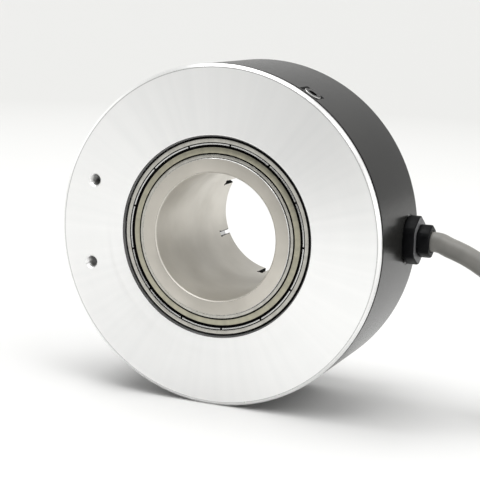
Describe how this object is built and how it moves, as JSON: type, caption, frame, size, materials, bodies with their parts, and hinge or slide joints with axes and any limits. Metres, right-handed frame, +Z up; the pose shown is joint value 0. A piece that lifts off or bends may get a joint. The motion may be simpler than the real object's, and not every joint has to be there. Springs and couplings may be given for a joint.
{
  "type": "rotary encoder",
  "caption": "Through-bore rotary encoder: turned flange, black housing, hollow shaft on ball bearings, glass code disc and a side cable.",
  "frame": {"origin": "on the shaft's axis, halfway along the hollow shaft", "axes": "+Y along the shaft from the front flange to the rear clamp, +Z up, and +X towards the cable gland"},
  "size_m": [0.2078, 0.0772, 0.1],
  "materials": {
    "bright_aluminium": "fine turned",
    "black_housing": "black anodised, satin",
    "bearing_steel": "ground",
    "bearing_shield": "rolled sheet, satin",
    "shaft_steel": "fine turned",
    "dark_steel": "black oxide",
    "brass": "turned",
    "seal_rubber": "moulded",
    "gland_nylon": "moulded, satin",
    "cable_sheath": "smooth sheath",
    "clear_glass": "polished",
    "board_laminate": "solder mask",
    "chip_plastic": "moulded",
    "connector_nylon": "moulded",
    "lead_insulation": "insulated cores"
  },
  "bodies": {
    "stator": {"front_flange": "bright_aluminium", "outer_ring_spacer": "bright_aluminium", "smoothing_capacitor": "bright_aluminium", "housing": "black_housing", "front_bearing_outer_ring": "bearing_steel", "rear_bearing_outer_ring": "bearing_steel", "board_screw_1": "bearing_steel", "board_screw_2": "bearing_steel", "board_screw_3": "bearing_steel", "board_screw_4": "bearing_steel", "front_bearing_front_shield": "bearing_shield", "front_bearing_back_shield": "bearing_shield", "rear_bearing_front_shield": "bearing_shield", "rear_bearing_back_shield": "bearing_shield", "housing_screw_1": "dark_steel", "housing_screw_2": "dark_steel", "housing_screw_3": "dark_steel", "board_standoff_1": "brass", "board_standoff_2": "brass", "board_standoff_3": "brass", "board_standoff_4": "brass", "housing_o_ring": "seal_rubber", "rear_dust_seal": "seal_rubber", "gland_seal": "seal_rubber", "gland_body": "gland_nylon", "gland_cap": "gland_nylon", "lamp_post": "gland_nylon", "cable_in_gland": "cable_sheath", "cable_run": "cable_sheath", "cable_coil": "cable_sheath", "lamp": "clear_glass", "reticle": "clear_glass", "circuit_board": "board_laminate", "sensor_chip": "chip_plastic", "line_driver_chip": "chip_plastic", "regulator_chip": "chip_plastic", "cable_connector": "connector_nylon", "lead_bundle": "lead_insulation", "cable_wire_ends": "lead_insulation"},
    "rotor": {"hollow_shaft": "shaft_steel", "front_bearing_inner_ring": "bearing_steel", "rear_bearing_inner_ring": "bearing_steel", "inner_ring_spacer": "bright_aluminium", "shaft_retaining_ring": "dark_steel", "code_disc": "clear_glass", "disc_hub": "bright_aluminium", "disc_hub_set_screw_1": "dark_steel", "disc_hub_set_screw_2": "dark_steel", "disc_hub_set_screw_3": "dark_steel", "clamp_ring": "bright_aluminium", "clamp_ring_screw": "dark_steel"},
    "front_cage": {"front_bearing_ball_cage": "bearing_steel"},
    "rear_cage": {"rear_bearing_ball_cage": "bearing_steel"}
  },
  "joints": [
    {"name": "shaft_spin", "type": "hinge", "parent": "stator", "child": "rotor", "pos_m": [0, 0, 0], "axis": [0, 1, 0], "continuous": true},
    {"name": "front_cage_spin", "type": "hinge", "parent": "stator", "child": "front_cage", "pos_m": [0, -0.0224, 0], "axis": [0, 1, 0], "continuous": true},
    {"name": "rear_cage_spin", "type": "hinge", "parent": "stator", "child": "rear_cage", "pos_m": [0, -0.0088, 0], "axis": [0, 1, 0], "continuous": true}
  ],
  "couplings": [
    {"joint": "front_cage_spin", "follows": "shaft_spin", "ratio": 0.46875},
    {"joint": "rear_cage_spin", "follows": "shaft_spin", "ratio": 0.46875}
  ]
}
